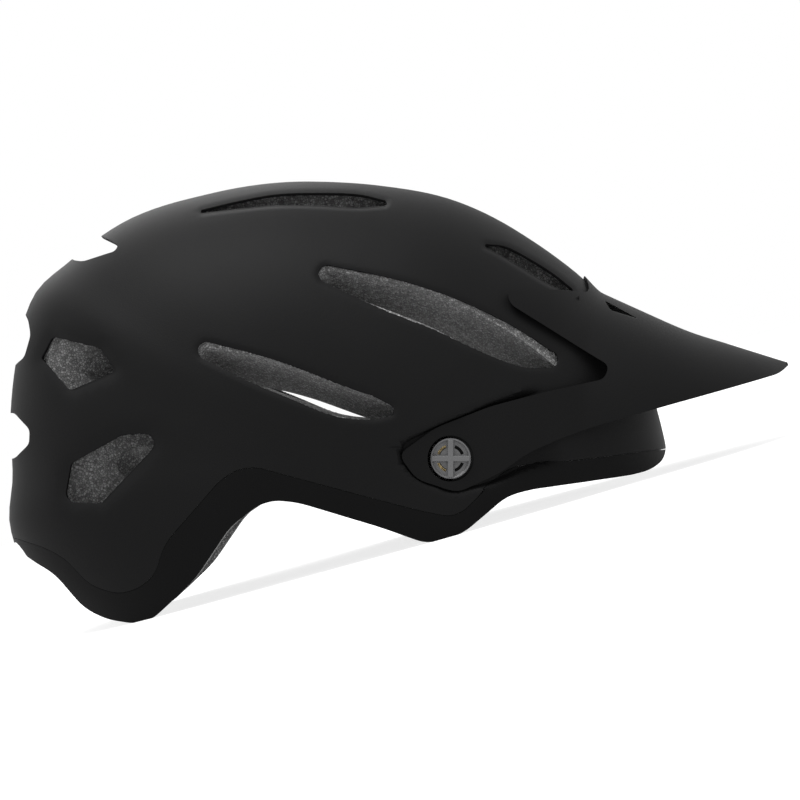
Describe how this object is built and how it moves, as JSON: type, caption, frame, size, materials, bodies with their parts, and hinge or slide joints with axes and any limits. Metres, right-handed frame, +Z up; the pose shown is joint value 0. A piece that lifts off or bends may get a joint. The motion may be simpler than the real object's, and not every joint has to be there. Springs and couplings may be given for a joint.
{
  "type": "cycling helmet",
  "caption": "Vented trail cycling helmet with a tilting visor, a dial fit cradle, comfort pads and a buckled strap harness.",
  "frame": {"origin": "middle of the surface that the helmet rests on, under the middle of its overall length and width", "axes": "+X is the front, where the visor points; +Y is the wearer's left; +Z is up, as the helmet stands on its rear and ear lobes"},
  "size_m": [0.3471, 0.2118, 0.1696],
  "materials": {
    "shell_matte": "matt black moulded polycarbonate with a fine eggshell texture",
    "shell_lower": "matt black moulded polycarbonate, slightly darker lower band",
    "foam_grey": "grey expanded bead foam with visible cells",
    "visor_matte": "matt black moulded nylon sheet",
    "trim_grey": "satin dark grey moulded plastic",
    "trim_black": "satin black moulded plastic",
    "insert_brass": "turned threaded insert",
    "pinion_steel": "sintered steel",
    "pad_fabric": "soft knitted fabric over foam",
    "hook_fabric": "hook tape",
    "webbing": "woven strap webbing"
  },
  "bodies": {
    "helmet": {"upper_shell": "shell_matte", "lower_shell": "shell_lower", "foam_liner": "foam_grey", "screw_insert_left": "insert_brass", "screw_insert_right": "insert_brass", "brow_pad": "pad_fabric", "crown_pad": "pad_fabric", "side_pad_left": "pad_fabric", "side_pad_right": "pad_fabric", "rear_pad_left": "pad_fabric", "rear_pad_right": "pad_fabric", "hook_patches": "hook_fabric", "height_rail": "trim_black", "belt_anchor_left": "trim_black", "belt_anchor_right": "trim_black", "strap_anchors": "trim_black", "front_strap_left": "webbing", "front_strap_right": "webbing", "rear_strap_left": "webbing", "rear_strap_right": "webbing", "strap_divider_left": "trim_black", "strap_divider_right": "trim_black", "chin_strap_left": "webbing", "chin_strap_right": "webbing", "buckle_socket": "trim_black", "strap_keeper": "trim_black"},
    "visor": {"visor": "visor_matte", "visor_bush_left": "trim_black", "visor_bush_right": "trim_black"},
    "screw_left": {"visor_screw_left": "trim_grey"},
    "screw_right": {"visor_screw_right": "trim_grey"},
    "cradle": {"cradle_yoke": "trim_black", "dial_housing_front": "trim_black", "dial_housing_back": "trim_black", "cradle_pad_left": "pad_fabric", "cradle_pad_right": "pad_fabric"},
    "dial": {"dial_pinion": "pinion_steel", "dial_knob": "trim_grey"},
    "belt_left": {"fit_belt_left": "trim_black"},
    "belt_right": {"fit_belt_right": "trim_black"},
    "cam_left": {"divider_cam_left": "trim_grey"},
    "cam_right": {"divider_cam_right": "trim_grey"},
    "buckle_plug": {"buckle_plug": "trim_black"}
  },
  "joints": [
    {"name": "visor_tilt", "type": "hinge", "parent": "helmet", "child": "visor", "pos_m": [0.018, 0, 0.0315], "axis": [0, -1, 0], "range_deg": [-10, 0]},
    {"name": "screw_left_turn", "type": "hinge", "parent": "helmet", "child": "screw_left", "pos_m": [0.018, 0.09, 0.0315], "axis": [0, 1, 0], "range_deg": [0, 360]},
    {"name": "screw_right_turn", "type": "hinge", "parent": "helmet", "child": "screw_right", "pos_m": [0.018, -0.09, 0.0315], "axis": [0, -1, 0], "range_deg": [0, 360]},
    {"name": "cradle_swing", "type": "hinge", "parent": "helmet", "child": "cradle", "pos_m": [-0.036, 0, 0.04], "axis": [0, -1, 0], "range_deg": [0, 7]},
    {"name": "dial_turn", "type": "hinge", "parent": "cradle", "child": "dial", "pos_m": [-0.14, 0, 0.03], "axis": [1, 0, 0], "range_deg": [0, 90]},
    {"name": "belt_left_draw", "type": "slide", "parent": "cradle", "child": "belt_left", "axis": [0, -1, 0], "range_m": [0, 0.00769]},
    {"name": "belt_right_draw", "type": "slide", "parent": "cradle", "child": "belt_right", "axis": [0, 1, 0], "range_m": [0, 0.0078]},
    {"name": "cam_left_lift", "type": "hinge", "parent": "helmet", "child": "cam_left", "pos_m": [0, 0.0644, 0.0574], "axis": [-1, 0, 0], "range_deg": [0, 75]},
    {"name": "cam_right_lift", "type": "hinge", "parent": "helmet", "child": "cam_right", "pos_m": [0, -0.0644, 0.0574], "axis": [1, 0, 0], "range_deg": [0, 75]},
    {"name": "buckle_release", "type": "slide", "parent": "helmet", "child": "buckle_plug", "axis": [0, 1, 0], "range_m": [0, 0.012], "deforming": ["chin_strap_left"]}
  ],
  "couplings": [
    {"joint": "dial_turn", "follows": "belt_left_draw", "rad_per_m": 204.08},
    {"joint": "belt_right_draw", "follows": "belt_left_draw", "ratio": 1}
  ]
}
